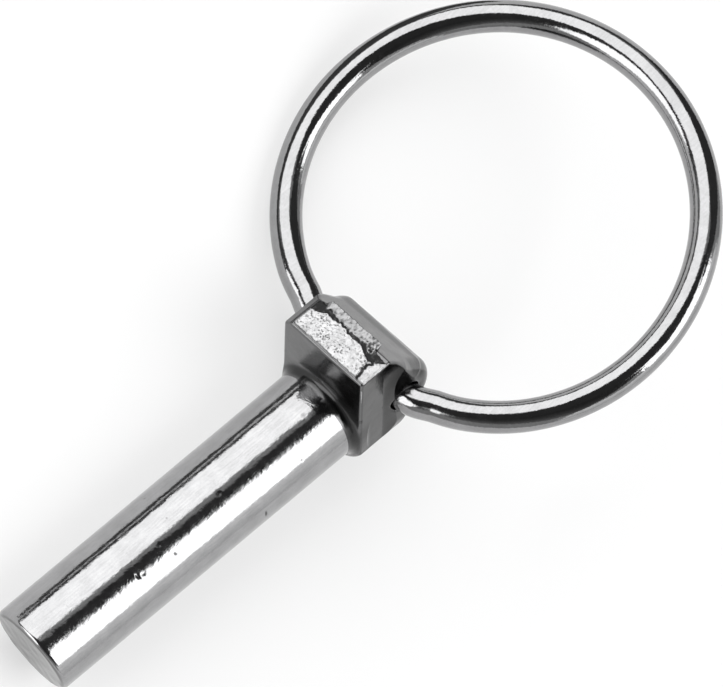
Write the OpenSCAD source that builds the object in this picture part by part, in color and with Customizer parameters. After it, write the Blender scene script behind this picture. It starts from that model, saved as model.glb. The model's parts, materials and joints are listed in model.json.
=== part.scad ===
// Lynch pin: a forged pin with an eccentric lug head, and a spring-wire ring.
// The ring's two ends swing in the head's cross hole.
// Millimetres and degrees, +Z up. It lies as it comes to rest, on its tip, its collar and the ring's side.

/* [Shank] */
// Diameter of the round shank
shank_d = 10; // [6:0.1:14]
// Shank from the middle of its cropped end to the underside of the head
shank_length = 40; // [25:0.1:70]
// Lean of the cropped end from square
tip_slant = 10.5; // [0:0.5:12]
// Turn of that lean about the shank, from straight back
tip_turn = 15; // [0:1:45]
// Rounding of the cropped end's edge
tip_round = 0.6; // [0.3:0.05:2]
// Fillet between the shank and the underside of the head
neck_fillet = 0.9; // [0.3:0.05:1.2]

/* [Head] */
// Width of the head between its two flat sides
head_width = 11; // [8:0.1:16]
// Radius of the round collar at the back of the head
collar_r = 6; // [4:0.05:9]
// Height of the collar before the back slopes to the knuckle
collar_height = 2.6; // [0.5:0.1:4]
// Reach of the lip from the shank's axis to its trimmed face
lip_reach = 11.4; // [7:0.1:16]
// Height of the lip's trimmed face
lip_height = 4; // [2:0.1:7]
// Bevel along one end of the lip
lip_bevel = 0.9; // [0.2:0.1:2]
// Outer radius of the knuckle round the cross hole
knuckle_r = 3.8; // [2.5:0.05:6]
// Length of the knuckle, a little past the head's sides
knuckle_length = 12.8; // [9:0.1:18]
// Rounding of the knuckle's two ends
knuckle_round = 1.4; // [0.4:0.1:1.8]

/* [Cross hole] */
// Height of the hinge line above the underside of the head
hinge_height = 5.6; // [4:0.1:10]
// Offset of the hinge line from the shank's axis, towards the lip
hinge_offset = 3.5; // [0:0.1:6]
// Lean of the hinge line across the head, which gives the ring its snap
hinge_skew = 4; // [0:0.5:8]
// Turn of the hinge line from square to the shank
hinge_turn = 2.5; // [0:0.5:5]
// Radial room in the cross hole round the path of the swinging wire
hole_clearance = 0.2; // [0.1:0.05:0.6]

/* [Ring] */
// Diameter of the spring wire
wire_d = 3.3; // [2:0.1:5]
// Radius of the ring, to the middle of its wire
ring_r = 21; // [14:0.1:32]
// Gap between the two wire ends inside the cross hole
end_gap = 2.7; // [1:0.1:5]
// Lift of the ring from the pin's line, as it is left standing
ring_lift = 13.4; // [-20:0.1:60]

/* [Rest] */
// Roll of the pin on the floor until the ring's side touches
rest_roll = 34; // [0:0.1:45]

/* [Hidden] */
// Node names in the order they are drawn

$fn = 96;
overrun = 2;
// Share of a round's radius at which its arc leaves a flat, so the two cross instead of touching
cross_share = 0.97;

shank_r = shank_d / 2;
wire_r = wire_d / 2;
side_y = head_width / 2;
mouth_y = knuckle_length / 2;
hinge_x = shank_length + hinge_height;
head_top = hinge_x + knuckle_r;

// Side view of the head: the lip's upper corner, the back's lower corner and where each meets the knuckle
lip_corner = [shank_length + lip_height, lip_reach];
back_corner = [shank_length + collar_height, -collar_r];
knuckle = [hinge_x, hinge_offset];
lip_run = lip_corner - knuckle;
back_run = back_corner - knuckle;
lip_angle = atan2(lip_run[1], lip_run[0]) - acos(knuckle_r / norm(lip_run));
back_angle = atan2(back_run[1], back_run[0]) + acos(knuckle_r / norm(back_run));
sink = knuckle_r * cross_share;
lip_touch = knuckle + sink * [cos(lip_angle), sin(lip_angle)];
back_touch = knuckle + sink * [cos(back_angle), sin(back_angle)];

// Tip: length cut away at the cropped end
tip_run = shank_d;

// Ring: the half next to the head is bent a little tighter, so both ends run square into the cross hole
end_side = end_gap / 2;
end_r = ring_r - end_side;
// How far the wire bends off the hinge line between its end and the hole's mouth, shared to both sides of it
mouth_bend = end_r * (1 - cos(asin((mouth_y - end_side) / end_r)));
wire_sag = mouth_bend / 2;
ring_middle = end_r - wire_sag;
hole_r = wire_r + wire_sag + hole_clearance;

// Rest: the shank's end edge and the collar both touch the floor
rest_pitch = atan((collar_r - shank_r) / (shank_length - tip_round));
rest_height = (shank_r - tip_round * tan(rest_pitch)) * cos(rest_pitch);

// Turns of a point about each axis, to place the laid pin over the middle of its own outline
function about_x(p, a) = [p[0], p[1] * cos(a) - p[2] * sin(a), p[1] * sin(a) + p[2] * cos(a)];
function about_y(p, a) = [p[0] * cos(a) + p[2] * sin(a), p[1], p[2] * cos(a) - p[0] * sin(a)];
function about_z(p, a) = [p[0] * cos(a) - p[1] * sin(a), p[0] * sin(a) + p[1] * cos(a), p[2]];
function laid(p) = about_y(about_x(p, -rest_roll), -rest_pitch);
function swung(p) = about_z(about_x(about_y(p, -ring_lift), hinge_skew), hinge_turn);
ring_face = laid(swung([0, 0, 1]));
ring_centre = laid([hinge_x, 0, hinge_offset] + swung([ring_middle, 0, 0]));
tip_front = -(shank_r - tip_round) * sin(tip_slant);
ring_front = ring_centre[0] + ring_r * sqrt(1 - ring_face[0] * ring_face[0]) + wire_r;
// The pin's own reach is less than the ring's on one side only, so the ring sets both sides of the outline
rest_x = -(tip_front + ring_front) / 2;
rest_y = -ring_centre[1];

// Takes the pin's own axes, shank along X and lip along Z, to the floor
module lay() {
    translate([rest_x, rest_y, rest_height])
        rotate([0, -rest_pitch, 0])
            rotate([-rest_roll, 0, 0])
                children();
}

// Stands a side view, drawn as length and height, upright across the head
module across(width) {
    rotate([90, 0, 0])
        linear_extrude(height = width, center = true)
            children();
}

// Turns a profile, drawn as radius and length, about the shank's axis
module about_shank() {
    rotate([90, 0, 90])
        rotate_extrude()
            children();
}

// What a rounding takes off the outer corner of a profile, corner at [0, 0] and metal to the lower left
module corner_cut(round_r) {
    difference() {
        translate([-round_r, -round_r])
            square([round_r + overrun, round_r + overrun]);
        translate([-round_r * cross_share, -round_r * cross_share])
            circle(r = round_r);
    }
}

// Round bar with a leaning, round-edged crop at its free end
module shank() {
    difference() {
        translate([-overrun, 0, 0])
            rotate([0, 90, 0])
                cylinder(r = shank_r, h = shank_length + overrun + overrun);
        rotate([tip_turn, 0, 0])
            rotate([0, -tip_slant, 0])
                about_shank() {
                    translate([0, -tip_run])
                        square([shank_d, tip_run]);
                    translate([shank_r, 0])
                        mirror([0, 1])
                            corner_cut(tip_round);
                }
    }
}

// Ring of metal in the corner between shank and head, no wider than the head
module neck() {
    intersection() {
        head_plan();
        about_shank()
            difference() {
                translate([shank_r - neck_fillet, shank_length - neck_fillet])
                    square([neck_fillet + neck_fillet * cross_share, neck_fillet + neck_fillet]);
                translate([shank_r + neck_fillet * cross_share, shank_length - neck_fillet * cross_share])
                    circle(r = neck_fillet);
            }
    }
}

// Side view of the head: collar and lip, up to the knuckle
module head_side() {
    polygon([
        [shank_length, -collar_r],
        [shank_length, lip_reach],
        lip_corner,
        lip_touch,
        knuckle,
        back_touch,
        back_corner
    ]);
}

// End view of the head, run along the shank: round at the back, flat sides, a bevel at one end of the lip
module head_plan() {
    translate([shank_length - overrun, 0, 0])
        rotate([90, 0, 90])
            linear_extrude(height = head_top - shank_length + overrun + overrun)
                intersection() {
                    union() {
                        circle(r = collar_r);
                        translate([-side_y, 0])
                            square([head_width, lip_reach + overrun]);
                    }
                    polygon([
                        [-side_y, -collar_r - overrun],
                        [side_y, -collar_r - overrun],
                        [side_y, lip_reach - lip_bevel],
                        [side_y - lip_bevel - overrun, lip_reach + overrun],
                        [-side_y, lip_reach + overrun]
                    ]);
                }
}

// The hinge line: across the head, leaning by the skew and the turn
module on_hinge() {
    translate([hinge_x, 0, hinge_offset])
        rotate([hinge_skew, 0, hinge_turn])
            children();
}

// Round-ended knuckle along the hinge line
module knuckle_barrel() {
    on_hinge()
        rotate([90, 0, 0])
            rotate_extrude()
                difference() {
                    translate([0, -mouth_y])
                        square([knuckle_r, knuckle_length]);
                    translate([knuckle_r, mouth_y])
                        corner_cut(knuckle_round);
                    mirror([0, 1])
                        translate([knuckle_r, mouth_y])
                            corner_cut(knuckle_round);
                }
}

// Forged head: the block with its collar and lip, and the knuckle
module head() {
    intersection() {
        across(head_width + overrun)
            head_side();
        head_plan();
    }
    knuckle_barrel();
}

// Forged in one piece: shank, neck and head
module pin() {
    color([0.62, 0.63, 0.64])
        lay()
            difference() {
                union() {
                    shank();
                    neck();
                    head();
                }
                on_hinge()
                    rotate([90, 0, 0])
                        cylinder(r = hole_r, h = knuckle_length + overrun + overrun, center = true);
            }
}

// One tighter quarter of the ring, from the main bow into the cross hole
module wire_end() {
    translate([ring_middle, end_side, 0])
        rotate([0, 0, 90])
            rotate_extrude(angle = 90)
                translate([end_r, 0])
                    circle(r = wire_r);
}

// Main bow of the ring, the half away from the head
module bow() {
    translate([ring_middle, 0, 0])
        rotate([0, 0, -90])
            rotate_extrude(angle = 180)
                translate([ring_r, 0])
                    circle(r = wire_r);
}

// Spring-wire ring, both ends in the cross hole
module ring() {
    color([0.66, 0.67, 0.68])
        lay()
            on_hinge()
                rotate([0, -ring_lift, 0])
                    union() {
                        bow();
                        wire_end();
                        mirror([0, 1, 0])
                            wire_end();
                    }
}

pin();
ring();
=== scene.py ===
# %% [markdown]
# A lynch pin: a forged steel pin with a round shank and a lug head, and a spring-wire ring that swings
# in the head's cross hole. Both pieces are zinc plated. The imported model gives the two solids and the
# hinge. This lesson gives them the skin of the real ones: soft forged edges, the rough face where the
# flash was trimmed off the lip, the nicks of a tumbled part, and plating that mirrors the studio.

# %% Load the frame
import json
import bpy
import numpy as np
from mathutils import Matrix, Vector


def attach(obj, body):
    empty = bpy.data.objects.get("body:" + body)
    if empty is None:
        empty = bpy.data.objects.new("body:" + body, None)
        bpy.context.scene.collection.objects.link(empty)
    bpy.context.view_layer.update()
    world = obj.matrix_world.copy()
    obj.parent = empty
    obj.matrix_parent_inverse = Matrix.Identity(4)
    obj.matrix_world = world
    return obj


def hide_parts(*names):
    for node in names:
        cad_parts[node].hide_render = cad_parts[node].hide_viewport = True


MM = 0.001
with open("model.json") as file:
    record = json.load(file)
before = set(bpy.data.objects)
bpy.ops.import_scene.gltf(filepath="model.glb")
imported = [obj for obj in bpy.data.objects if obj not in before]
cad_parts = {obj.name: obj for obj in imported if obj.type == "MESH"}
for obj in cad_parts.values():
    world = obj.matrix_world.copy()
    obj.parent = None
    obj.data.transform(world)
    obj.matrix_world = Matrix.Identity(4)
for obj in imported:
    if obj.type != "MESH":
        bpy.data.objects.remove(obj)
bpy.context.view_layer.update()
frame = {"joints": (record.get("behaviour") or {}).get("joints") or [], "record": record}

# %% [markdown]
# Every shape below is worked out in the pin's own axes, in millimetres: X from the tip to the head, Z from
# the axis towards the lip, Y across the head, nearly along the cross hole. The part lies rolled over on the
# floor, so these axes are tilted there. They could be copied out as numbers, but the record already holds
# the shank's mount and the ring's hinge, and those two give the axes exactly.

# %% The pin's own axes
TIP_ROUND, NECK_FILLET = 0.6, 0.9
shank_mount = next(m for m in frame["record"]["mounts"] if m["name"] == "shank")
swing = next(j for j in frame["joints"] if j["name"] == "ring_swing")
wall_length = shank_mount["dims"]["length_mm"]
wall_middle = np.array(shank_mount["pos_m"]) / MM
hinge_place = np.array(swing["pos_m"]) / MM
axis_x = -np.array(shank_mount["axis"])
axis_x = axis_x / np.linalg.norm(axis_x)
arm = hinge_place - wall_middle
arm = arm - arm @ axis_x * axis_x
axis_z = arm / np.linalg.norm(arm)
axes = np.stack([axis_x, np.cross(axis_z, axis_x), axis_z])
tip_place = wall_middle - axis_x * (TIP_ROUND + wall_length / 2)
SHANK_L = TIP_ROUND + wall_length + NECK_FILLET
hinge = axes @ (hinge_place - tip_place)
hinge_dir = axes @ -np.array(swing["axis"])


def to_floor(points):
    """A point in the pin's axes, in mm, becomes the tip plus its three steps along those axes, in metres."""
    return (tip_place + points @ axes) * MM


print("shank", round(SHANK_L, 3), "hinge", hinge.round(3), "along", hinge_dir.round(4))

# %% [markdown]
# A piece here is a grid of points: a shape with two parameters, one along the rows and one along the
# columns. A modelling tool would push points by hand. Worked out as arrays, the same rule places them all
# at once. The mesh then only needs to know which sides of the grid close on themselves, and where a fan of
# triangles closes a row.


# %% Faces of a grid
def grid_faces(rows, cols, wrap_rows, wrap_cols):
    """Four corners of each cell: this point, the next in the row, the one across, the one below."""
    i = np.arange(rows if wrap_rows else rows - 1)[:, None]
    j = np.arange(cols if wrap_cols else cols - 1)[None, :]
    i2, j2 = (i + 1) % rows, (j + 1) % cols
    cells = np.stack([i * cols + j, i * cols + j2, i2 * cols + j2, i2 * cols + j], -1)
    return cells.reshape(-1, 4)


def cap_faces(rim, pole):
    """A fan of triangles from each step of a closed rim of points to one pole."""
    return np.stack([rim, np.roll(rim, -1), np.full(len(rim), pole)], -1)


def signed_volume(points, faces):
    """A sixth of the sum, over the faces, of corner one dot corner two cross corner three."""
    a, b, c = (points[faces[:, k]] for k in range(3))
    return np.einsum("ij,ij->i", a, np.cross(b, c)).sum() / 6


print("the one cell of a two by two grid", grid_faces(2, 2, False, False).tolist())


# %% From a grid to a piece
def make_piece(name, grid, wrap_rows=False, poles=(), normals=None):
    """A mesh object from a grid in the pin's axes, closed along its rows. Each pole is a row's number and a
    point, and a fan closes that row. Where the signed volume is negative, all faces are turned round."""
    rows, cols = grid.shape[:2]
    points = np.concatenate([grid.reshape(-1, 3), *[np.array(p, float)[None] for _, p in poles]])
    quads = grid_faces(rows, cols, wrap_rows, True)
    fans = np.zeros((0, 3), int)
    for k, (row, _) in enumerate(poles):
        rim = row % rows * cols + np.arange(cols)
        fans = np.concatenate([fans, cap_faces(rim[::-1] if row == 0 else rim, rows * cols + k)])
    halves = np.concatenate([quads[:, [0, 1, 2]], quads[:, [0, 2, 3]], fans])
    if signed_volume(points - points.mean(0), halves) < 0:
        quads, fans = quads[:, ::-1], fans[:, ::-1]
    mesh = bpy.data.meshes.new(name)
    mesh.from_pydata(to_floor(points), [], quads.tolist() + fans.tolist())
    mesh.polygons.foreach_set("use_smooth", np.ones(len(mesh.polygons), bool))
    if normals is not None:
        mesh.normals_split_custom_set_from_vertices((normals.reshape(-1, 3) @ axes).tolist())
    mesh.update()
    piece = bpy.data.objects.new(name, mesh)
    bpy.context.scene.collection.objects.link(piece)
    print(name, len(quads) * 2 + len(fans), "triangles")
    return piece


# %% [markdown]
# Metal that was forged, tumbled and plated is never perfectly even. A few soft waves of different lengths,
# added together, give every piece a gentle unevenness that is the same each time the script runs.

# %% Soft unevenness
WAVE_COUNT, WAVE_SPREAD, WAVE_GAIN = 9, (0.7, 1.4), 1.6


def soft_waves(points, length, seed):
    """The mean of nine sine waves in random directions, each about one length long, times a gain."""
    draw = np.random.default_rng(seed)
    turns = draw.normal(size=(WAVE_COUNT, 3))
    turns = turns / np.linalg.norm(turns, axis=1, keepdims=True)
    steps = 2 * np.pi / (length * draw.uniform(*WAVE_SPREAD, WAVE_COUNT))
    starts = draw.uniform(0, 2 * np.pi, WAVE_COUNT)
    return np.sin(points @ (turns * steps[:, None]).T + starts).mean(-1) * WAVE_GAIN


def uneven(points, waves):
    """The sum of soft waves, each given as its height, its length and its seed."""
    return sum(height * soft_waves(points, length, seed) for height, length, seed in waves)


def smooth_step(low, high, value):
    """Zero below low, one above high, and a cubic ease between them."""
    t = np.clip((value - low) / (high - low), 0, 1)
    return t * t * (3 - 2 * t)


print("waves at the hinge", soft_waves(hinge, 4, 1).round(3))

# %% [markdown]
# The shank is drawn round bar, cropped at one end. The shears left the end face leaning, with its rim
# rounded by tumbling. A lathe tool or a cylinder primitive gives a square end, so here a profile is turned
# about the axis, and the leaning end plane slides each line of the wall along X. The skin ends a little
# below the head, inside the fillet that the head brings along.

# %% Shank
SHANK_R, TIP_SLANT, TIP_TURN = 5.0, np.radians(10.5), np.radians(15)
AROUND, WALL_STEP, DISC_FROM, DISC_ROWS, BEND_ROWS = 208, 0.112, 0.25, 20, 10
LEAN_FADE = 2, 6
SKIN_END = SHANK_L - 0.35


def end_plane(y, z):
    """How far the cropped end leans along X: the slant's tangent times the height on the leaning side."""
    return np.tan(TIP_SLANT) * (np.sin(TIP_TURN) * y - np.cos(TIP_TURN) * z)


turn = np.linspace(0, 2 * np.pi, AROUND, endpoint=False)
disc = np.linspace(DISC_FROM, SHANK_R - TIP_ROUND, DISC_ROWS)
bend = np.linspace(0, np.pi / 2, BEND_ROWS)[1:]
wall = np.linspace(TIP_ROUND, SKIN_END, int(SHANK_L / WALL_STEP))[1:]
rim_radius = SHANK_R - TIP_ROUND + TIP_ROUND * np.sin(bend)
radius = np.concatenate([disc, rim_radius, np.full(len(wall), SHANK_R)])
run = np.concatenate([0 * disc, TIP_ROUND * (1 - np.cos(bend)), wall])
lean_share = 1 - smooth_step(*LEAN_FADE, run)
y_grid, z_grid = radius[:, None] * np.cos(turn), radius[:, None] * np.sin(turn)
x_grid = run[:, None] + lean_share[:, None] * end_plane(y_grid, z_grid)
shank_grid = np.stack([x_grid, y_grid, z_grid], -1)
outward = np.stack([0 * x_grid, y_grid, z_grid], -1) / radius[:, None, None]
print("shank grid", x_grid.shape, "tip from", x_grid[0].min().round(2))

# %% Nicks and waves on the shank
NICKS = [  # place along the shank, turn about it in degrees, size along and across, depth
    (12.7, 96, 0.13, 0.45, 0.018), (16.6, 132, 0.20, 0.26, 0.045), (12.0, 125, 0.16, 0.34, 0.05),
    (12.5, 127, 0.30, 0.15, 0.04), (27.6, 175, 0.17, 0.50, 0.05), (18.3, 94, 0.16, 0.16, 0.03),
    (18.7, 50, 0.15, 0.20, 0.03), (15.8, 112, 0.22, 0.18, 0.03), (4.3, 98, 0.15, 0.26, 0.02),
    (3.0, 138, 0.14, 0.18, 0.025), (24.1, 111, 0.25, 0.20, 0.03), (33.4, 144, 0.16, 0.16, 0.03),
    (36.3, 104, 0.45, 0.40, 0.025), (11.0, 250, 0.25, 0.25, 0.04), (22.0, 300, 0.18, 0.40, 0.04),
    (30.0, 225, 0.40, 0.17, 0.04), (7.0, 330, 0.20, 0.30, 0.03),
]
WALL_WAVES, END_WAVES = [(0.012, 7, 11), (0.005, 1.8, 12)], [(0.02, 1.6, 13)]
WALL_STARTS, WALL_STOPS = (TIP_ROUND, 2.5), (SHANK_L - 3, SHANK_L - 2)
TUCK = np.array([1, 0.9, 0.9])
dent = np.zeros(x_grid.shape)
for at, degrees, size_x, size_turn, depth in NICKS:
    off = np.angle(np.exp(1j * (turn - np.radians(degrees)))) * SHANK_R
    reach = ((x_grid - at) / size_x) ** 2 + (off[None, :] / size_turn) ** 2
    dent = np.maximum(dent, depth * np.exp(-reach))
on_wall = smooth_step(*WALL_STARTS, run) * (1 - smooth_step(*WALL_STOPS, run))
lift = on_wall[:, None] * (uneven(shank_grid, WALL_WAVES) - dent)
shank_grid = shank_grid + outward * lift[..., None]
on_end = 1 - smooth_step(0, TIP_ROUND, run)
shank_grid[..., 0] += uneven(shank_grid, END_WAVES) * on_end[:, None]
shank_grid = np.concatenate([shank_grid, shank_grid[-1:] * TUCK])
dent = np.concatenate([dent, 0 * dent[-1:]])
shank = make_piece("pin_shank", shank_grid, poles=[(0, [0, 0, 0]), (-1, [SKIN_END, 0, 0])])
print("deepest nick", dent.max().round(3), "mm")

# %% [markdown]
# The head is the hard piece: a collar that is round behind, a lip in front, sides that flare from a fold up
# to a rounded knuckle, and a cross hole right through, with every edge softened by the dies. Bevels on a cut
# solid fail where so many edges meet. A rule that tells metal from air is easier to write: it is below zero
# inside, above zero outside, and near the true distance. Two flat faces meet in a round by adding the
# squares of how far a point is past each, and two bodies flow together by a smooth minimum.


# %% Ways to join two bodies
def round_both(a, b, edge):
    """Inside both of two bodies, their shared edge rounded: root of the squares past each inset face."""
    a, b = a + edge, b + edge
    return np.minimum(np.maximum(a, b), 0) + np.hypot(np.maximum(a, 0), np.maximum(b, 0)) - edge


def flow_together(a, b, reach):
    """The lesser of two distances, less the square of what reach has over their difference, divided by
    four reaches."""
    h = np.maximum(reach - np.abs(a - b), 0)
    return np.minimum(a, b) - h * h / (4 * reach)


print("two faces, each 1 mm off, meet at", round_both(1.0, 1.0, 0.3).round(3))

# %% Distance to an outline
NEVER_ZERO = 1e-12


def inset(corners, by):
    """A convex outline drawn smaller: each corner is where its two sides cross once both moved inwards."""
    before, after = corners - np.roll(corners, 1, 0), np.roll(corners, -1, 0) - corners
    before = before / np.linalg.norm(before, axis=1, keepdims=True)
    after = after / np.linalg.norm(after, axis=1, keepdims=True)
    cross = before[:, 0] * after[:, 1] - before[:, 1] * after[:, 0]
    return corners + np.sign(cross[:, None]) * by * (after - before) / cross[:, None]


def to_outline(u, v, corners):
    """Distance to a closed outline of straight sides, negative inside: nearest side, sign by crossings."""
    nearest = np.full(np.shape(u), np.inf)
    sign = np.ones(np.shape(u))
    for (au, av), (bu, bv) in zip(corners, np.roll(corners, -1, 0)):
        eu, ev = bu - au, bv - av
        t = np.clip(((u - au) * eu + (v - av) * ev) / (eu * eu + ev * ev), 0, 1)
        nearest = np.minimum(nearest, (u - au - t * eu) ** 2 + (v - av - t * ev) ** 2)
        crosses = ((av > v) != (bv > v)) & (u < eu * (v - av) / (ev + NEVER_ZERO) + au)
        sign = np.where(crosses, -sign, sign)
    return sign * np.sqrt(nearest)


unit_square = np.array([[0, 0], [1, 0], [1, 1], [0, 1.0]])
print("middle of a unit square", to_outline(np.array(0.5), np.array(0.5), unit_square))

# %% Side view of the head
COLLAR_R, COLLAR_H, BACK_OVERRUN = 6.0, 2.6, 1.2
LIP_REACH, LIP_H = 11.4, 4.0
KNUCKLE_R, EDGE = 3.8, 0.3
knuckle = np.array([hinge[0] - SHANK_L, hinge[2]])
lip_corner, back_corner = np.array([LIP_H, LIP_REACH]), np.array([COLLAR_H, -COLLAR_R])


def tangent_point(corner, side):
    """Where a straight side from a corner just touches the knuckle: at the corner's own angle plus or less
    the angle whose cosine is the knuckle's radius over the corner's distance."""
    gap = corner - knuckle
    angle = np.arctan2(gap[1], gap[0]) + side * np.arccos(KNUCKLE_R / np.linalg.norm(gap))
    return knuckle + KNUCKLE_R * np.array([np.cos(angle), np.sin(angle)])


lip_touch, back_touch = tangent_point(lip_corner, -1), tangent_point(back_corner, 1)
back_slope = (back_corner - back_touch) / np.linalg.norm(back_corner - back_touch)
past_back = back_corner + back_slope * BACK_OVERRUN
side_view = np.array([[0, past_back[1]], [0, LIP_REACH], lip_corner, lip_touch, back_touch, past_back])
side_inset = inset(side_view, EDGE)
print("side view", side_view.round(2).tolist())

# %% The head's rule
HEAD_SIDE, KNUCKLE_HALF = 5.5, 6.4
KNUCKLE_FLOW, NECK_FLOW, HOLE_R, HOLE_RIM = 0.35, 1.2, 1.80, 0.35
FLARE_FROM, FLARE_RUN, FLARE_STRAIGHT, FLARE_FADE, SKEW_FADE = 3.1, 2.4, 0.6, (6.5, 11), (2.5, 6)
END_EDGE, END_EDGE_FROM, LIP_BEVEL, BEVEL_EDGE = 1.5, (4.8, 7.0), 0.9, 0.2
STUB, STUB_TOP, STUB_SINK, STUB_DEEP, STUB_DEEP_FROM = 3.0, 0.3, 0.003, 0.3, (1.6, 3)
FORGED_WAVES = [(0.02, 5, 21)]


def flared_sides(x, y, z, across, reach):
    """Distance past the head's sides. They lie at half the head's width, and above a fold they move out to
    half the knuckle's length and lean with the hinge line."""
    ramp = np.clip((x - FLARE_FROM) / FLARE_RUN, 0, 1)
    eased = FLARE_STRAIGHT * ramp + (1 - FLARE_STRAIGHT) * smooth_step(0, 1, ramp)
    flare = eased * (1 - smooth_step(*FLARE_FADE, z))
    skew = flare * (1 - smooth_step(*SKEW_FADE, reach))
    return np.abs(y + skew * (across - y)) - HEAD_SIDE - flare * (KNUCKLE_HALF - HEAD_SIDE)


def head_rule(points):
    """Metal below zero. The side view and the plan meet in rounded edges, a bevel takes one end of the lip,
    the shank's stub flows in from below, and the hole is taken out, its rim rounded."""
    x, y, z = points[..., 0] - SHANK_L, points[..., 1], points[..., 2]
    from_hinge = points - hinge
    across = from_hinge @ hinge_dir
    reach = np.sqrt(np.maximum((from_hinge ** 2).sum(-1) - across ** 2, 0))
    outline = flow_together(to_outline(x, z, side_inset) - EDGE, reach - KNUCKLE_R, KNUCKLE_FLOW)
    collar = np.hypot(y, np.minimum(z, 0)) - COLLAR_R
    plan = np.maximum(flared_sides(x, y, z, across, reach), collar)
    edge = EDGE + (END_EDGE - EDGE) * smooth_step(*END_EDGE_FROM, x)
    bevel = (y - HEAD_SIDE + z - LIP_REACH + LIP_BEVEL) / np.sqrt(2)
    block = round_both(round_both(outline, plan, edge), bevel, BEVEL_EDGE) + uneven(points, FORGED_WAVES)
    sink = STUB_SINK + STUB_DEEP * smooth_step(*STUB_DEEP_FROM, -x)
    stub = np.maximum(np.hypot(y, z) - SHANK_R + sink, np.maximum(x - STUB_TOP, -STUB - x))
    solid = flow_together(block, stub, NECK_FLOW)
    return -flow_together(-solid, reach - HOLE_R, HOLE_RIM)


in_lip = np.array([SHANK_L + LIP_H / 2, 0, LIP_REACH - LIP_H / 2])
print("rule at the hinge", head_rule(hinge).round(3), "and in the lip", head_rule(in_lip).round(3))

# %% [markdown]
# A head with one hole through it has the form of a tyre, so one grid that closes both ways covers it with
# no seam and no pole. One parameter goes round the hinge line, the other goes round the metal: out over the
# side, across the outside, back along the other side and home through the hole. Each point slides out from
# a core circle in the metal until the rule reads zero.

# %% Rays from the core
TURNS, CORE_R, STEP_SHARE = 300, 3.0, 0.8
first = np.cross(hinge_dir, [0, 0, 1.0])
first = first / np.linalg.norm(first)
second = np.cross(first, hinge_dir)
spin = np.linspace(0, 2 * np.pi, TURNS, endpoint=False)
spoke = np.cos(spin)[:, None] * first + np.sin(spin)[:, None] * second
core = hinge + CORE_R * spoke


def slide_out(angle, rounds, start):
    """From the core along each ray: step by a share of the rule's own value, again and again."""
    ray = np.cos(angle)[..., None] * spoke[:, None] + np.sin(angle)[..., None] * hinge_dir
    far = start
    for _ in range(rounds):
        far = far - STEP_SHARE * head_rule(core[:, None] + far[..., None] * ray)
    return far, core[:, None] + far[..., None] * ray


print("core in the metal, at most", head_rule(core).max().round(2))

# %% Head
STEPS, TRIAL_STEPS, TRIAL_ROUNDS, LAST_ROUNDS = 292, 721, 70, 25
trial = np.broadcast_to(np.linspace(0, 2 * np.pi, TRIAL_STEPS), (TURNS, TRIAL_STEPS))
trial_far, line = slide_out(trial, TRIAL_ROUNDS, np.zeros(trial.shape))
step = np.linalg.norm(np.diff(line, axis=1), axis=-1)
length = np.concatenate([np.zeros((TURNS, 1)), np.cumsum(step, 1)], 1)
even = np.linspace(0, 1, STEPS, endpoint=False)
angle = np.stack([np.interp(even * length[k, -1], length[k], trial[k]) for k in range(TURNS)])
start = np.stack([np.interp(angle[k], trial[k], trial_far[k]) for k in range(TURNS)])
_, head_grid = slide_out(angle, LAST_ROUNDS, start)
print("left over", np.abs(head_rule(head_grid)).max().round(4), "mm, longest step", step.max().round(2))

# %% Normals of the head
SMALL = 0.02
slope = [head_rule(head_grid + SMALL * e) - head_rule(head_grid - SMALL * e) for e in np.eye(3)]
slope = np.stack(slope, -1)
slope = slope / np.linalg.norm(slope, axis=-1, keepdims=True)
head = make_piece("pin_head", head_grid, wrap_rows=True, normals=slope)

# %% [markdown]
# The lip's face is where the flash was sheared off after forging. The shears burnished a bright, pitted
# plate along the lower part, then the metal tore: a jagged crack, a bright ridge of flash that still stands
# about 0.6 mm above it, and a separate chip at one end. It is relief, so it is made as relief: a profile
# that follows the lip and turns over its upper edge, carried along the lip, and raised by a height that
# noises and masks give.

# %% Scar: where the profile runs
SCAR_LOW, SCAR_HIGH, SCAR_COLS = 0.06, 5.6, 150
CORNER_HALF, FIXED_H = 0.55, 1.5
lip_slope = (lip_touch - lip_corner) / np.linalg.norm(lip_touch - lip_corner)


def lip_profile(height):
    """Side-view point and outward direction at a height up the lip: straight up its face, round its upper
    corner, then along the slope towards the knuckle."""
    turned = smooth_step(LIP_H - CORNER_HALF, LIP_H + CORNER_HALF, height)
    up = np.array([1.0, 0.0]) * (1 - turned)[..., None] + lip_slope * turned[..., None]
    up = up / np.linalg.norm(up, axis=-1, keepdims=True)
    place = np.cumsum(up * np.gradient(height)[:, None], 0)
    place = place - place[np.argmin(np.abs(height - FIXED_H))] + [FIXED_H, LIP_REACH]
    return place, np.stack([-up[:, 1], up[:, 0]], -1)


scar_heights = np.linspace(SCAR_LOW, SCAR_HIGH, SCAR_COLS)
profile, face_out = lip_profile(scar_heights)
print("profile from", profile[0].round(2), "to", profile[-1].round(2))

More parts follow.
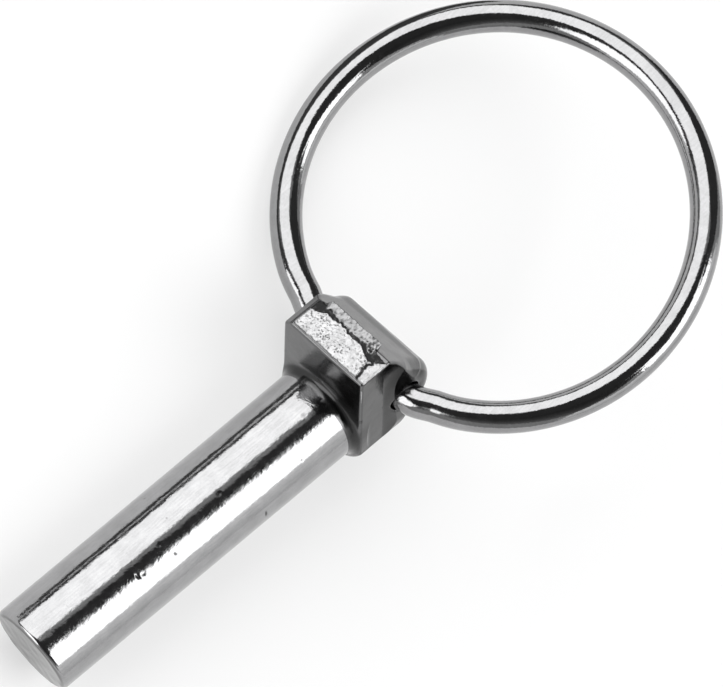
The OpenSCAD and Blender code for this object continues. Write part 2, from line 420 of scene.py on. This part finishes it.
# %% Scar: where the head's skin is
SCAR_LEFT, SCAR_RIGHT, SCAR_ROWS = 0.5, 10.95, 230
SEEK_FROM, SEEK_ROUNDS = -1.2, 40
scar_places = np.linspace(SCAR_LEFT, SCAR_RIGHT, SCAR_ROWS)
along, high_up = np.meshgrid(scar_places, scar_heights, indexing="ij")
scar_out = np.stack([face_out[:, 0], 0 * scar_heights, face_out[:, 1]], -1)
scar_out = np.broadcast_to(scar_out, (*along.shape, 3))
flat = np.stack([SHANK_L + profile[:, 0] + 0 * along, HEAD_SIDE - along, profile[:, 1] + 0 * along], -1)
sunk = np.full(along.shape, SEEK_FROM)
for _ in range(SEEK_ROUNDS):
    sunk = sunk - STEP_SHARE * head_rule(flat + sunk[..., None] * scar_out)
seat = flat + sunk[..., None] * scar_out
print("the head's skin lies", sunk.min().round(2), "to", sunk.max().round(2), "mm from the plain profile")

# %% Scar: noise
NET = 64
FINER, FINER_SHARE, FINER_SEED = 3, 0.5, 40


def value_noise(u, v, cell, seed):
    """Random heights on a square net, eased between its knots, from 0 to 1."""
    draw = np.random.default_rng(seed).random((NET, NET))
    gu, gv = u / cell, v / cell
    i, j = np.floor(gu).astype(int), np.floor(gv).astype(int)
    fu, fv = smooth_step(0, 1, gu - i), smooth_step(0, 1, gv - j)
    low = draw[i % NET, j % NET] * (1 - fu) + draw[(i + 1) % NET, j % NET] * fu
    high = draw[i % NET, (j + 1) % NET] * (1 - fu) + draw[(i + 1) % NET, (j + 1) % NET] * fu
    return low * (1 - fv) + high * fv


def jagged(places, cell, seed, size):
    """A ragged line about zero: a noise, and half of one three times finer, less their middle, times size."""
    broad_teeth = value_noise(places, 0 * places, cell, seed)
    fine_teeth = value_noise(places, 0 * places, cell / FINER, seed + FINER_SEED)
    return size * (broad_teeth + FINER_SHARE * fine_teeth - (1 + FINER_SHARE) / 2)


print("a jagged line starts", jagged(scar_places[:4], 0.9, 3, 0.4).round(3))

# %% Scar: its torn lines
# Places along the lip, then the height or the width of a line there
CRACK_PLACES = [0, 1, 2.2, 3.2, 4.4, 5.7, 7.3, 8.6, 9.4, 11]
CRACK_HEIGHTS = [2.4, 2.5, 3.1, 3.4, 3.75, 3.35, 3.2, 2.95, 2.5, 2.4]
CRACK_WIDTH = [1.5, 2.6, 4.3, 5.5, 7.5, 9], [0.75, 0.45, 0.18, 0.24, 0.34, 0.4]
ROOF = [0.5, 1.0, 1.7, 8.8, 9.3, 11], [2.9, 4.0, 5.1, 5.1, 3.9, 3.8]
CHIP_TOP = [9.5, 10.2, 10.8], [2.6, 2.9, 3.7]
BOTTOM, CHIP_FROM, CHIP_LEAN, CHIP_MIDDLE = 0.28, 9.75, 0.12, 2
crack_h = np.interp(along, CRACK_PLACES, CRACK_HEIGHTS) + jagged(along, 0.9, 3, 0.4)
crack_wide = np.interp(along, *CRACK_WIDTH) + jagged(along, 0.6, 14, 0.16)
bottom_h = BOTTOM + jagged(along, 0.5, 5, 0.12)
roof_h = np.interp(along, *ROOF) + jagged(along, 0.7, 6, 0.2)
chip_edge = CHIP_FROM - CHIP_LEAN * (high_up - CHIP_MIDDLE) + jagged(high_up, 0.5, 7, 0.3)
chip_h = np.interp(along, *CHIP_TOP) + jagged(along, 0.4, 15, 0.3)
print("crack from", crack_h.min().round(2), "to", crack_h.max().round(2), "mm up the lip")

# %% Scar: its parts
SOFT, CRACK_HALF, RIDGE = 0.12, 0.1, 0.62
TORN_ENDS, TORN_BELOW, PLATE_END, CHIP_FOOT = (0.85, 10.9), 0.1, 0.95, 0.2
RIDGE_ENDS, RIDGE_LEAN, RIDGE_TOP, LEAST_FACING = (1.6, 9.1), 0.6, 4.4, 0.3
PIT_DEEP, PIT_PATCHES, RAGGED_FROM = (0.64, 0.87), (-0.4, 0.35), (7.6, 9.0)


def past(value, soft):
    """Zero up to an edge, where the value is zero, and one from a soft margin past it."""
    return smooth_step(0, soft, value)


fine = value_noise(along, high_up, 0.22, 8) + 0.6 * value_noise(along, high_up, 0.11, 9) - 0.8
broad = value_noise(along, high_up, 1.3, 10) - 0.5
torn = past(along - TORN_ENDS[0], 0.2) * past(high_up - bottom_h + TORN_BELOW, 0.15)
torn = torn * past(roof_h - high_up, 0.2) * past(TORN_ENDS[1] - along, 0.1)
plate = past(crack_h - high_up, SOFT) * past(high_up - bottom_h, 0.15)
plate = plate * past(along - PLATE_END, 0.25) * past(chip_edge - CRACK_HALF - along, SOFT)
to_plane = (LIP_REACH - seat[..., 2]) / np.maximum(scar_out[..., 2], LEAST_FACING)
behind = to_plane - RIDGE - jagged(along, 0.8, 16, 0.12)
ridge = past(high_up - crack_h - crack_wide, SOFT) * (1 - past(behind, SOFT))
ridge = ridge * past(along - RIDGE_ENDS[0] - RIDGE_LEAN * (RIDGE_TOP - high_up), 0.5)
ridge = ridge * past(RIDGE_ENDS[1] - along, 0.3)
chip = past(along - chip_edge - CRACK_HALF, SOFT)
chip = chip * past(high_up - CHIP_FOOT, 0.2) * past(chip_h - high_up, 0.2)
pits = smooth_step(*PIT_DEEP, value_noise(along, high_up, 0.16, 12)) * smooth_step(*PIT_PATCHES, broad)
ragged = smooth_step(*RAGGED_FROM, along)
print("shares of the face", {"plate": plate.mean().round(2), "ridge": ridge.mean().round(2)})

# %% Scar
SINK, UNDER, UNDER_STRIDE = 0.15, -0.45, 8
plate_rise = 0.13 + 0.042 * fine + 0.06 * broad - 0.05 * pits
chip_rise = 0.14 + 0.05 * fine
ridge_rise = 0.08 + np.minimum(to_plane, RIDGE) + (0.05 + 0.10 * ragged) * fine + 0.08 * broad
torn_rise = 0.015 + 0.06 * np.maximum(fine, 0)
rise = np.maximum.reduce([plate * plate_rise, chip * chip_rise, ridge * ridge_rise, torn * torn_rise])
scar_height = rise - SINK * (1 - torn)
scar_top = seat + scar_height[..., None] * scar_out
scar_under = seat + UNDER * scar_out
scar_grid = np.concatenate([scar_top, scar_under[:, ::UNDER_STRIDE][:, ::-1]], 1)
scar_ends = [(row, scar_grid[row].mean(0)) for row in (0, -1)]
scar = make_piece("lip_scar", scar_grid, poles=scar_ends)
print("scar stands", scar_height.max().round(2), "mm")

# %% [markdown]
# The ring is one length of drawn spring wire, bent round and sprung into the cross hole. A torus would
# close on itself and could not enter the hole. So a round profile is carried along the true path: a half
# circle away from the head, and two tighter quarters that run straight and square through the hole. Real
# rings are a little out of round, and so is this one.

# %% The ring's hinge
RING_R, WIRE_R, END_SIDE, RING_LIFT = 21.0, 1.65, 1.35, np.radians(13.4)
HINGE_SKEW, HINGE_TURN = np.radians(4), np.radians(2.5)


def turn_about(axis, angle):
    """The matrix of a turn about one of the three axes."""
    return np.array(Matrix.Rotation(angle, 3, axis))


on_hinge = turn_about("Z", HINGE_TURN) @ turn_about("X", HINGE_SKEW)
hang = on_hinge @ turn_about("Y", -RING_LIFT)
off_by = np.degrees(np.arccos(np.clip(on_hinge[:, 1] @ hinge_dir, -1, 1)))
print("hinge line off by", off_by.round(4), "degrees")

# %% The wire's path
BOW_ROWS, QUARTER_ROWS = 421, 231
STRAIGHT_TO, BENT_FROM = 5.2, 9.0
OUT_OF_ROUND, ROUND_FROM = (0.13, 0.12), (2.6, 2.84)
END_R = RING_R - END_SIDE
mouth_turn = np.arcsin((KNUCKLE_HALF - END_SIDE) / END_R)
RING_MIDDLE = END_R - END_R * (1 - np.cos(mouth_turn)) / 2
bow = np.linspace(-np.pi / 2, np.pi / 2, BOW_ROWS)
quarter = np.linspace(np.pi / 2, np.pi, QUARTER_ROWS)[1:]
bow_line = np.stack([RING_MIDDLE + RING_R * np.cos(bow), RING_R * np.sin(bow)], -1)
end_line = np.stack([RING_MIDDLE + END_R * np.cos(quarter), END_SIDE + END_R * np.sin(quarter)], -1)
end_line[:, 0] *= smooth_step(STRAIGHT_TO, BENT_FROM, end_line[:, 1])
heading = np.concatenate([-quarter[::-1], bow, quarter])
path = np.concatenate([end_line[::-1] * [1, -1], bow_line, end_line])
out = np.stack([np.cos(heading), np.sin(heading), 0 * heading], -1)
free = 1 - smooth_step(*ROUND_FROM, np.abs(heading))
bulge = free * (OUT_OF_ROUND[0] + OUT_OF_ROUND[1] * np.sin(heading))
ring_mid = np.concatenate([path, np.zeros((len(path), 1))], 1) + bulge[:, None] * out
print("ring out of round by up to", bulge.max().round(2), "mm")

# %% Ring
WIRE_COLS, WIRE_WAVES, WAVE_REACH = 56, [(0.006, 5, 31), (0.003, 1.7, 32)], 3
lathe = np.linspace(0, 2 * np.pi, WIRE_COLS, endpoint=False)
sideways = np.sin(lathe)[None, :, None] * np.array([0, 0, 1.0])
ring_out = np.cos(lathe)[None, :, None] * out[:, None] + sideways
skin = uneven(ring_mid[:, None] + WAVE_REACH * ring_out, WIRE_WAVES)
ring_grid = (ring_mid[:, None] + ring_out * (WIRE_R + skin)[..., None]) @ hang.T + hinge
ring_ends = [(row, ring_mid[row] @ hang.T + hinge) for row in (0, -1)]
ring = make_piece("ring_wire", ring_grid, poles=ring_ends)

# %% [markdown]
# Zinc plate on steel is a soft mirror. A plain metal shader looks like chrome, because real plate has a
# grain: it blurs unevenly and its bright bands have crumbled edges. Noises on the piece's own coordinates
# give that: clouds, streaks and specks tint it, one noise blurs it, and a coarse and a fine one lift the
# surface by some microns. The dark nicks are painted shade, added further down.


# %% Nodes for the plating
def node(tree, kind, **values):
    """Adds a node. A key with a capital is an input's name, i and a number is an input's place, and any
    other key is a property."""
    made = tree.nodes.new(kind)
    for key, value in values.items():
        if key[0].isupper():
            made.inputs[key].default_value = value
        elif key[0] == "i" and key[1:].isdigit():
            made.inputs[int(key[1:])].default_value = value
        else:
            setattr(made, key, value)
    return made


def noise(tree, where, size, detail, rough=0.5):
    """A cloud pattern whose lumps are about one size, in metres."""
    made = node(tree, "ShaderNodeTexNoise", Scale=1 / size, Detail=detail, Roughness=rough)
    tree.links.new(where, made.inputs["Vector"])
    return made.outputs["Fac"]


def spread(tree, value, low, high, to_low, to_high):
    """Maps a value from one range to another, eased and clamped."""
    made = node(tree, "ShaderNodeMapRange", i1=low, i2=high, i3=to_low, i4=to_high)
    made.interpolation_type = "SMOOTHSTEP"
    tree.links.new(value, made.inputs[0])
    return made.outputs[0]


def grey(tone, blue=1.0):
    """A colour with all its parts at one tone, the blue part times blue."""
    return (tone, tone, tone * blue, 1)


print("a cool grey", grey(0.5, 1.01))

# %% Plated steel
COOL, BUMP_ROUGH = 1.01, 0.6
STREAK_TURN, STREAK_SCALE = (0.4, 0.3, 0.6), (0.1, 1.0, 1.0)
CLOUD_SHARE, STREAK_SHARE, SPECK_SHARE = 0.45, 0.35, 0.2
CLOUD_GRAINS, BLUR_GRAINS, LUMP_GRAINS, LUMP_LIFTS = 9, 4, 3, 2
TINT_FROM, BLUR_FROM = (0.32, 0.68), (0.3, 0.7)


def plate_tint(tree, where, light, dark, grain):
    """Grey from dark to light by a weighted sum of three noises: clouds, streaks and specks."""
    streaks = node(tree, "ShaderNodeMapping", Rotation=STREAK_TURN, Scale=STREAK_SCALE)
    tree.links.new(where, streaks.inputs["Vector"])
    clouds = noise(tree, where, grain * CLOUD_GRAINS, 4)
    lines = noise(tree, streaks.outputs[0], grain, 3)
    specks = noise(tree, where, grain, 2)
    total = None
    for part, share in ((clouds, CLOUD_SHARE), (lines, STREAK_SHARE), (specks, SPECK_SHARE)):
        add = node(tree, "ShaderNodeMath", operation="MULTIPLY_ADD", i1=share, i2=0.0)
        tree.links.new(spread(tree, part, *TINT_FROM, 0, 1), add.inputs[0])
        if total is not None:
            tree.links.new(total, add.inputs[2])
        total = add.outputs[0]
    tint = node(tree, "ShaderNodeMix", data_type="RGBA", i6=grey(dark, COOL), i7=grey(light, COOL))
    tree.links.new(total, tint.inputs[0])
    return tint.outputs[2]


def plate_lift(tree, where, grain, lift):
    """The normal after two bumps: lumps three grains long and two lifts high, then grains one lift high."""
    lumps = node(tree, "ShaderNodeBump", Strength=1.0, Distance=lift * LUMP_LIFTS)
    tree.links.new(noise(tree, where, grain * LUMP_GRAINS, 2, BUMP_ROUGH), lumps.inputs["Height"])
    grains = node(tree, "ShaderNodeBump", Strength=1.0, Distance=lift)
    tree.links.new(noise(tree, where, grain, 2, BUMP_ROUGH), grains.inputs["Height"])
    tree.links.new(lumps.outputs["Normal"], grains.inputs["Normal"])
    return grains.outputs["Normal"]


def plated(name, light, dark, blur, grain, lift):
    """Plated metal: its tint between light and dark, its roughness by a noise from the low to the high
    blur, and its lift. Grain and lift are in metres."""
    made = bpy.data.materials.new(name)
    made.use_nodes = True
    tree = made.node_tree
    shader = tree.nodes["Principled BSDF"]
    shader.inputs["Metallic"].default_value = 1.0
    where = tree.nodes.new("ShaderNodeTexCoord").outputs["Object"]
    blurred = spread(tree, noise(tree, where, grain * BLUR_GRAINS, 4), *BLUR_FROM, *blur)
    tree.links.new(plate_tint(tree, where, light, dark, grain), shader.inputs["Base Color"])
    tree.links.new(blurred, shader.inputs["Roughness"])
    tree.links.new(plate_lift(tree, where, grain, lift), shader.inputs["Normal"])
    return made


# %% Finishes
# Name, light and dark tone, lowest and highest blur, then grain and lift in metres
drawn = plated("plated_drawn_bar", 0.38, 0.30, (0.06, 0.13), 0.00020, 0.000005)
forged = plated("plated_forging", 0.165, 0.125, (0.14, 0.24), 0.00028, 0.000006)
wire = plated("plated_spring_wire", 0.34, 0.28, (0.06, 0.12), 0.00020, 0.000005)
burnished = plated("burnished_tear", 0.48, 0.32, (0.25, 0.40), 0.00014, 0.000008)
for piece, finish in ((shank, drawn), (head, forged), (scar, burnished), (ring, wire)):
    piece.data.materials.append(finish)
print("finishes", [m.name for m in bpy.data.materials])

# %% [markdown]
# Shade is painted into the colour in the nicks, in the corner under the head, on the head's sides and in the
# crack and pits of the scar. The cropped end is duller than the drawn wall. Painting it by hand would take a
# picture file. Each point of the mesh already knows where it is on the piece, so one number per point says
# how dark it is, and the material darkens by that number.


# %% Darkening by points
def point_attribute(piece, name, values):
    """Stores one number per point, in the grid's order, zero for the poles."""
    full = np.zeros(len(piece.data.vertices), np.float32)
    full[:values.size] = values.ravel()
    piece.data.attributes.new(name, "FLOAT", "POINT").data.foreach_set("value", full)
    print(piece.name, name, "up to", full.max().round(3))


def darken_by(made, attribute, low, high, dark_tone):
    """Darkens a metal towards a dark tone where a point attribute goes from low to high: painted shade, and
    the cropped end's duller finish.
    """
    tree = made.node_tree
    shader = tree.nodes["Principled BSDF"]
    old = shader.inputs["Base Color"].links[0].from_socket
    reader = node(tree, "ShaderNodeAttribute", attribute_name=attribute)
    mix = node(tree, "ShaderNodeMix", data_type="RGBA", i7=grey(dark_tone))
    tree.links.new(spread(tree, reader.outputs["Fac"], low, high, 0, 1), mix.inputs[0])
    tree.links.new(old, mix.inputs[6])
    tree.links.new(mix.outputs[2], shader.inputs["Base Color"])


# %% Painted shade in the nicks, and the duller cropped end
END_FADE, END_TONE, NICK_DEPTHS, NICK_SHADE_TONE = 0.25, 0.17, (0.010, 0.04), 0.06
cropped = np.broadcast_to(1 - smooth_step(0, END_FADE, run)[:, None], x_grid.shape)
point_attribute(shank, "dent", dent)
point_attribute(shank, "cropped", np.concatenate([cropped, 0 * dent[-1:]]))
darken_by(drawn, "cropped", 0.0, 1.0, END_TONE)
# Painted shade: the nicks are darkened by their depth.
darken_by(drawn, "dent", *NICK_DEPTHS, NICK_SHADE_TONE)

# %% Painted shade on the head
SIDE_FACING, FOLD, FRONT_PART = (0.74, 0.86), (3.0, 3.4), (2.5, 5.5)
SIDE_SHADE, FLARE_SHADE, BACK_SHARE, HEAD_SHADE_TONE = 0.58, 0.25, 0.45, 0.035
CORNER_SHADE, CORNER_OUT, CORNER_TOP, CORNER_FOOT = 0.8, (0.45, 0.9), (0.0, 0.2), (-1.3, -0.6)
# Painted shade: the head's sides are darkened, more above the fold towards the lip, and so is the corner
# under the head.
facing_side = smooth_step(*SIDE_FACING, np.abs(slope @ hinge_dir))
above = head_grid[..., 0] - SHANK_L
front_share = BACK_SHARE + (1 - BACK_SHARE) * smooth_step(*FRONT_PART, head_grid[..., 2])
painted_shade = facing_side * (SIDE_SHADE + FLARE_SHADE * smooth_step(*FOLD, above) * front_share)
from_bar = np.hypot(head_grid[..., 1], head_grid[..., 2]) - SHANK_R
under_head = (1 - smooth_step(*CORNER_TOP, above)) * smooth_step(*CORNER_FOOT, above)
corner = (1 - smooth_step(*CORNER_OUT, from_bar)) * under_head
point_attribute(head, "painted_shade", np.maximum(painted_shade, CORNER_SHADE * corner))
darken_by(forged, "painted_shade", 0.0, 1.0, HEAD_SHADE_TONE)

# %% Painted shade in the scar's crack and pits, and a darker ridge
PIT_SHADE, CRACK_SHADE_TONE = 0.45, 0.015
# Painted shade: the open crack goes almost black and the pits go darker. The ridge gets an uneven darker
# tone.
open_crack = torn * (1 - np.maximum.reduce([plate, ridge, chip]))
crack_shade = 0.96 - 0.3 * np.maximum(fine, 0)
ridge_darkening = 0.37 + 0.7 * np.maximum(-fine, 0) + 0.3 * ragged * (fine < 0)
painted_shade_and_tone = np.maximum(crack_shade * open_crack + PIT_SHADE * plate * pits, ridge * ridge_darkening)
under_cols = scar_grid.shape[1] - SCAR_COLS
point_attribute(scar, "painted_shade_and_tone", np.concatenate([painted_shade_and_tone, np.zeros((SCAR_ROWS, under_cols))], 1))
darken_by(burnished, "painted_shade_and_tone", 0.0, 1.0, CRACK_SHADE_TONE)

# %% [markdown]
# The new skins stand for the two solids and move with their bodies, so the ring swings as the hinge says.

# %% Ride on the bodies
for piece in (shank, head, scar):
    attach(piece, "pin")
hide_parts("pin")
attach(ring, "ring")
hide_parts("ring")
print("the pin carries", [piece.name for piece in (shank, head, scar)], "and the ring", ring.name)

# %% [markdown]
# Polished metal shows its surroundings more than itself, so the studio is part of the finish. The white
# floor gives the mid greys. Three soft lamps, two of them round, and one pale glow card give the bright
# bands, and dark cards, as a photographer sets them, draw the black lines between. A low dark strip stands
# close to the ring in place of the floor's contact shadow there: it paints that shadow into the metal, as
# the line along the ring's outer side. The cards are seen only in the metal.

# %% Places in the studio
LAMP_FAR, CARD_FAR, GLOW_FAR, STRIP_FAR = 2.0, 1.6, 1.7, 0.032
STUDIO_AIM = Vector((0, 0, 0.01))


def direction(azimuth, elevation):
    """Unit vector at an azimuth from X towards Y and an elevation above the floor, in degrees."""
    a, e = np.radians(azimuth), np.radians(elevation)
    return Vector((np.cos(e) * np.cos(a), np.cos(e) * np.sin(a), np.sin(e)))


def facing(place):
    """The turn that points an object's -Z axis from its place at the part."""
    return (STUDIO_AIM - place).to_track_quat("-Z", "Y")


def across_view(far, degrees):
    """The length that covers some degrees of the view from the part: twice far times the tangent of half
    the angle."""
    return 2 * far * np.tan(np.radians(degrees / 2))


print("a lamp 40 degrees wide is", across_view(LAMP_FAR, 40).round(2), "m wide")

# %% Lamps
LAMPS = [  # name, azimuth and elevation, degrees wide and high, brightness, shape
    ("side_lamp", 81, 36, 74, 59, 2.1, "ELLIPSE"),
    ("top_lamp", -58, 53, 40, 44, 3.3, "RECTANGLE"),
    ("front_lamp", 153, 15, 50, 46, 2.8, "ELLIPSE"),
]


def soft_lamp(name, azimuth, elevation, wide, high, brightness, shape):
    """An area lamp that faces the part. Power is brightness times pi times its area, and an ellipse fills a
    quarter of pi of its rectangle."""
    data = bpy.data.lights.new(name, "AREA")
    data.shape = shape
    data.size, data.size_y = across_view(LAMP_FAR, wide), across_view(LAMP_FAR, high)
    filled = np.pi / 4 if shape == "ELLIPSE" else 1
    data.energy = brightness * np.pi * filled * data.size * data.size_y
    lamp = bpy.data.objects.new(name, data)
    bpy.context.scene.collection.objects.link(lamp)
    lamp.location = direction(azimuth, elevation) * LAMP_FAR
    lamp.rotation_mode = "QUATERNION"
    lamp.rotation_quaternion = facing(lamp.location)


for lamp_values in LAMPS:
    soft_lamp(*lamp_values)
print("lamps", {light.name: round(light.energy, 1) for light in bpy.data.lights})

# %% Cards
CARDS = [  # name, azimuth and elevation, degrees wide and high, distance, shades from foot to top
    ("camera_side_card", 150, 74, 45, 77, CARD_FAR, (0.05, 0.05)),
    ("near_side_card", -147, 50, 62, 46, CARD_FAR, (0.22, 0.09, 0.04, 0.04)),
    ("far_side_card", 5, 33, 44, 66, CARD_FAR, (0.06, 0.06)),
    ("corner_card", 125, 24, 10, 60, CARD_FAR, (0.08, 0.08)),
    ("under_lamp_card", 80, 3.5, 76, 9, CARD_FAR, (0.10, 0.10)),
    ("lamp_corner_card", 42, 9, 38, 17, CARD_FAR, (0.10, 0.10)),
    ("side_glow", -74, 11, 80, 44, GLOW_FAR, (0.70, 1.4)),
    # Painted shadow: a dark strip in place of the floor's contact shadow beside the ring, seen in the metal.
    ("contact_shadow_strip", 75.5, 5.8, 98, 11.6, STRIP_FAR, (0.12, 0.09, 0.12)),
]


def shaded_paint(name):
    """A paint that glows as strongly as the point attribute shade says."""
    paint = bpy.data.materials.new(name)
    paint.use_nodes = True
    tree = paint.node_tree
    reader = node(tree, "ShaderNodeAttribute", attribute_name="shade")
    glow = node(tree, "ShaderNodeEmission", Color=grey(1))
    tree.links.new(reader.outputs["Fac"], glow.inputs["Strength"])
    tree.links.new(glow.outputs[0], tree.nodes["Material Output"].inputs[0])
    return paint


def card(name, azimuth, elevation, wide, high, far, shades):
    """A flat card that faces the part, seen only in the metal: two columns of points, a row for each shade,
    turned and moved to its place."""
    place = direction(azimuth, elevation) * far
    half_w, half_h = across_view(far, wide) / 2, across_view(far, high) / 2
    heights = np.linspace(-half_h, half_h, len(shades))
    up_card, across_card = np.meshgrid(heights, [-half_w, half_w], indexing="ij")
    flat_card = np.stack([across_card, up_card, 0 * up_card], -1).reshape(-1, 3)
    turned = flat_card @ np.array(facing(place).to_matrix()).T + np.array(place)
    mesh = bpy.data.meshes.new(name)
    mesh.from_pydata(turned, [], grid_faces(len(shades), 2, False, False).tolist())
    shade_points = mesh.attributes.new("shade", "FLOAT", "POINT")
    shade_points.data.foreach_set("value", np.repeat(np.float32(shades), 2))
    mesh.materials.append(shaded_paint(name))
    made = bpy.data.objects.new(name, mesh)
    bpy.context.scene.collection.objects.link(made)
    made.visible_camera = made.visible_diffuse = made.visible_shadow = False


for card_values in CARDS:
    card(*card_values)
print("cards", [values[0] for values in CARDS])

# %% [markdown]
# The part lies on white paper. Plain paper under these lamps goes grey round the part, and more light would
# burn out the metal. So half of the paper that is seen, straight on or in the metal, is an even white glow,
# and the light that it throws back on the part is that of plain paper.

# %% Floor
FLOOR_HALF, FLOOR_WHITE, FLOOR_TONE = 5.0, 0.5, 0.80


def seen_directly(tree):
    """The largest of three: one for rays from the camera, from a mirror or through glass, and zero for the
    light that falls on things."""
    rays = tree.nodes.new("ShaderNodeLightPath")
    total = rays.outputs["Is Camera Ray"]
    for kind in ("Is Glossy Ray", "Is Transmission Ray"):
        larger = node(tree, "ShaderNodeMath", operation="MAXIMUM")
        tree.links.new(total, larger.inputs[0])
        tree.links.new(rays.outputs[kind], larger.inputs[1])
        total = larger.outputs[0]
    return total


def white_paper():
    """Matt paper mixed with an even white glow by the paper's white share of what is seen directly."""
    paper = bpy.data.materials.new("pale_paper")
    paper.use_nodes = True
    tree = paper.node_tree
    matt = node(tree, "ShaderNodeBsdfDiffuse", Color=grey(FLOOR_TONE))
    white = node(tree, "ShaderNodeEmission", Color=grey(1), Strength=1.0)
    share = node(tree, "ShaderNodeMath", operation="MULTIPLY", i1=FLOOR_WHITE)
    blend = tree.nodes.new("ShaderNodeMixShader")
    tree.links.new(seen_directly(tree), share.inputs[0])
    for number, part in enumerate((share, matt, white)):
        tree.links.new(part.outputs[0], blend.inputs[number])
    tree.links.new(blend.outputs[0], tree.nodes["Material Output"].inputs[0])
    return paper


floor_corners = np.array([[-1, -1, 0], [1, -1, 0], [1, 1, 0], [-1, 1, 0]]) * FLOOR_HALF
floor_mesh = bpy.data.meshes.new("floor")
floor_mesh.from_pydata(floor_corners, [], [[0, 1, 2, 3]])
floor_mesh.materials.append(white_paper())
floor = bpy.data.objects.new("floor", floor_mesh)
bpy.context.scene.collection.objects.link(floor)
print("floor", 2 * FLOOR_HALF, "m wide")

# %% World
WORLD_TONE = 0.45
world = bpy.data.worlds.new("studio")
world.use_nodes = True
world.node_tree.nodes["Background"].inputs["Color"].default_value = grey(WORLD_TONE)
bpy.context.scene.world = world
bpy.context.scene.view_settings.view_transform = "Standard"
print("world", world.name, "tone", WORLD_TONE)

# %% [markdown]
# The photograph was taken from far off with a long lens, looking down on the lip from beyond the tip. The
# camera's right and up directions are given in the pin's axes, as they were read off the shank, the lip and
# the ring, and back is square to both.

# %% Camera
VIEW_RIGHT, VIEW_UP = np.array([0.717, -0.6968, 0.0164]), np.array([0.5978, 0.6269, 0.4996])
VIEW_WIDE, LENS, SENSOR, CLIP_END = 71.726, 1500.0, 36.0, 100
AIM_PAST_NECK, AIM_RIGHT, AIM_UP = 1.369, 3.030, 5.716
right = VIEW_RIGHT / np.linalg.norm(VIEW_RIGHT)
up = VIEW_UP - VIEW_UP @ right * right
up = up / np.linalg.norm(up)
back = np.cross(right, up)
aim = np.array([SHANK_L + AIM_PAST_NECK, 0, 0]) + AIM_RIGHT * right + AIM_UP * up
camera_data = bpy.data.cameras.new("camera")
camera_data.lens, camera_data.sensor_width, camera_data.clip_end = LENS, SENSOR, CLIP_END
camera = bpy.data.objects.new("camera", camera_data)
bpy.context.scene.collection.objects.link(camera)
camera_place = to_floor(aim + back * (VIEW_WIDE * LENS / SENSOR))
camera_turn = np.stack([right @ axes, up @ axes, back @ axes], 1)
camera.matrix_world = Matrix.Translation(Vector(camera_place)) @ Matrix(camera_turn.tolist()).to_4x4()
bpy.context.scene.camera = camera
print("camera at", camera_place.round(3))
